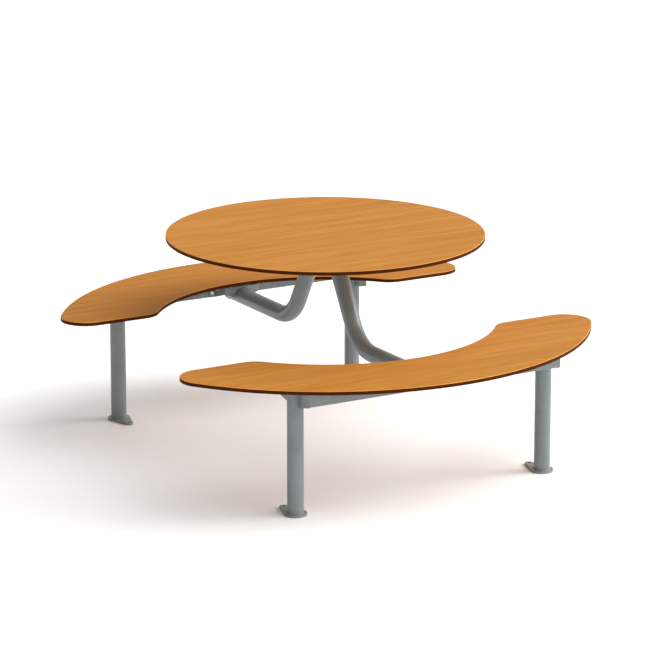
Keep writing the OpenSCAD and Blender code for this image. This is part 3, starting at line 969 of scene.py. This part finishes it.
def quarter_welds(side_x, side_y):
    """The beads of one leg: at its foot, its head, its gussets and the rail."""
    parts = [
        bead(round_path((LEG_X, LEG_Y), LEG, FOOT_THICK), PLATE_WELD, True),
        bead(round_path((LEG_X, LEG_Y), LEG, RAIL_TOP), HEAD_WELD, True),
    ]
    low, under, outer = RAIL_TOP - GUSSET_MID, RAIL_TOP - RAIL_HIGH, RAIL_IN + RAIL_WIDE
    for x in (LEG_X - GUSSET_THICK / 2, LEG_X + GUSSET_THICK / 2):
        for y in (LEG_Y - LEG, LEG_Y + LEG):
            parts.append(straight_bead(
                (x, y, low + GUSSET_WELD_LOW), (x, y, RAIL_TOP - GUSSET_WELD_HIGH)
            ))
        parts.append(straight_bead(
            (x, LEG_Y - GUSSET_REACH + WELD_END, RAIL_TOP), (x, LEG_Y - LEG, RAIL_TOP)
        ))
    parts.append(straight_bead(
        (RAIL_HALF, RAIL_IN + CORNER_END, under), (RAIL_HALF, outer - CORNER_END, under)
    ))
    parts.append(straight_bead(
        (RAIL_HALF, RAIL_IN, under + CORNER_END), (RAIL_HALF, RAIL_IN, RAIL_TOP - WELD_END)
    ))
    for x in (LEG_X + step for step in TACKS_FROM_LEG):
        parts.append(straight_bead((x, RAIL_IN, RAIL_TOP), (x + TACK_LENGTH, RAIL_IN, RAIL_TOP), TACK))
    return to_corner(gather(parts), side_x, side_y)


def bench_welds(side_y):
    """The beads of one arm: at the rail, in its hanger and under the table plate."""
    cut = round_path((0, ARM_TOP_Y), ARM, ARM_TOP, 1 / math.cos(LEAN))
    at_rail = [(x, RAIL_IN, ARM_Z + up) for x, up, _ in round_path((0, 0), ARM, 0)]
    parts = [bead(cut, PLATE_WELD, True), bead(at_rail, HEAD_WELD, True)]
    saddle = [
        (x, HANGER_FRONT + HANGER_THICK, ARM_Z + up)
        for x, up, _ in round_path((0, 0), ARM, 0) if up > SADDLE_LOW
    ]
    saddle.sort(key=lambda point: math.atan2(point[2] - ARM_Z, point[0]))
    parts.append(bead(saddle, SADDLE_WELD, False))
    for x in (-HANGER_HALF + HANGER_WELD_INSET, HANGER_HALF - HANGER_WELD_INSET - HANGER_WELD):
        parts.append(straight_bead((x, HANGER_FRONT, RAIL_TOP), (x + HANGER_WELD, HANGER_FRONT, RAIL_TOP)))
    for x in (-SEAT_PLATE_HALF + TACK_INSET, SEAT_PLATE_HALF - TACK_INSET - TACK_LENGTH):
        parts.append(straight_bead((x, RAIL_IN, RAIL_TOP), (x + TACK_LENGTH, RAIL_IN, RAIL_TOP), TACK))
    return to_corner(gather(parts), 1, side_y)


# The table

table_panel()
for side, bench in ((-1, "front"), (1, "back")):
    seat_panel(side, bench + "_seat_panel", bench + "_seat")
    finish_piece(bench + "_box_rail", rail(side), [PAINT], "coated_steel", bench + "_rail")
    finish_piece(bench + "_bent_arm", arm(side), [PAINT], "coated_steel", bench + "_arm")
    finish_piece(
        bench + "_folded_hanger", hanger(side), [PAINT], "coated_steel", bench + "_hanger"
    )
    finish_piece(
        bench + "_seat_mounting_plate", seat_plate(side), [PAINT], "coated_steel",
        bench + "_seat_plate",
    )
    finish_piece(
        bench + "_table_mounting_plate", table_plate(side), [PAINT], "coated_steel",
        bench + "_table_plate",
    )
    finish_piece(bench + "_arm_welds", bench_welds(side), [PAINT], "coated_steel")
    for hand, word in ((-1, "left"), (1, "right")):
        spot = f"{bench}_{word}"
        finish_piece(spot + "_round_leg", leg(hand, side), [PAINT], "coated_steel", spot + "_leg")
        finish_piece(spot + "_foot_plate", foot(hand, side), [PAINT], "coated_steel", spot + "_foot")
        finish_piece(
            spot + "_leg_head", leg_bracket(hand, side), [PAINT], "coated_steel",
            spot + "_bracket",
        )
        finish_piece(spot + "_welds", quarter_welds(hand, side), [PAINT], "coated_steel")

seat_under, table_under = SEAT_HEIGHT - PANEL, TABLE_HEIGHT - PANEL
seat_spots = [(x, side * y) for side in SIDES for x, y in SEAT_BOLTS]
table_spots = [(x, side * y) for side in SIDES for x, y in TABLE_BOLTS]
for word, spots, under, plate in (
    ("seat", seat_spots, seat_under, RAIL_TOP), ("table", table_spots, table_under, ARM_TOP)
):
    # The bolts and washers under the panels take the darkened stainless copy: painted shade.
    for kind, make, z, finish, slot in (
        ("hex_bolts", panel_bolt, plate, SHADED_STAINLESS, "stainless"),
        ("flat_washers", washer, plate, SHADED_STAINLESS, "stainless"),
        ("threaded_inserts", insert, under, BRASS, "brass"),
    ):
        shape = gather([make(x, y, z) for x, y in spots])
        finish_piece(f"{word}_{kind}", shape, [finish], slot, f"{word}_{kind.split('_')[1]}")

domes, nuts = [], []
for side_x in SIDES:
    for side_y in SIDES:
        dome = along_y(domed_bolt(), HANGER_BOLT_X, RAIL_IN - HANGER_THICK, HANGER_BOLT_Z)
        domes.append(to_corner(dome, side_x, side_y))
        nut = along_y(hanger_nut(), HANGER_BOLT_X, RAIL_IN + RAIL_WALL, HANGER_BOLT_Z)
        nuts.append(to_corner(nut, side_x, side_y))
finish_piece("hanger_domed_bolts", gather(domes), [STAINLESS], "stainless", "hanger_bolts")
finish_piece("hanger_hex_nuts", gather(nuts), [STAINLESS], "stainless", "hanger_nuts")


# Studio

def studio_floor():
    bm = bmesh.new()
    bmesh.ops.create_grid(bm, x_segments=1, y_segments=1, size=FLOOR_HALF)
    mesh = bpy.data.meshes.new("studio_floor")
    bm.to_mesh(mesh)
    bm.free()
    floor = bpy.data.objects.new("studio_floor", mesh)
    bpy.context.scene.collection.objects.link(floor)
    finish, _, shader = new_finish("pale_floor", Roughness=0.9, Specular_IOR_Level=0.1)
    shader.inputs["Base Color"].default_value = (FLOOR_TONE, FLOOR_TONE, FLOOR_TONE, 1)
    mesh.materials.append(finish)


def studio():
    studio_floor()
    world = bpy.data.worlds.new("studio")
    world.use_nodes = True
    tree = world.node_tree
    sky = tree.nodes["Background"]
    sky.inputs["Color"].default_value = (1, 1, 1, 1)
    place = tree.nodes.new("ShaderNodeTexCoord")
    level = tree.nodes.new("ShaderNodeVectorMath")
    level.operation = "DOT_PRODUCT"
    level.inputs[1].default_value = SKY_AXIS
    tree.links.new(place.outputs["Generated"], level.inputs[0])
    glow = grey(tree, level.outputs["Value"], SKY_LEFT, SKY_RIGHT, -SKY_SPREAD, SKY_SPREAD)
    tree.links.new(glow, sky.inputs["Strength"])
    bpy.context.scene.world = world
    for name, energy, spread, ray in LAMPS:
        lamp = bpy.data.lights.new(name, "SUN")
        lamp.energy = energy
        lamp.angle = math.radians(spread)
        holder = bpy.data.objects.new(name, lamp)
        holder.rotation_euler = Vector(ray).to_track_quat("-Z", "Y").to_euler()
        bpy.context.scene.collection.objects.link(holder)
    bpy.context.scene.view_settings.view_transform = "Standard"


def photo_camera():
    camera = bpy.data.cameras.new("photo_view")
    camera.sensor_width = 36
    camera.lens = CAMERA_LENS
    camera.clip_end = 200
    holder = bpy.data.objects.new("photo_view", camera)
    holder.location = CAMERA_PLACE
    holder.rotation_euler = (math.radians(90 - CAMERA_DOWN), 0, math.radians(-CAMERA_TURN))
    bpy.context.scene.collection.objects.link(holder)
    bpy.context.scene.camera = holder


studio()
photo_camera()
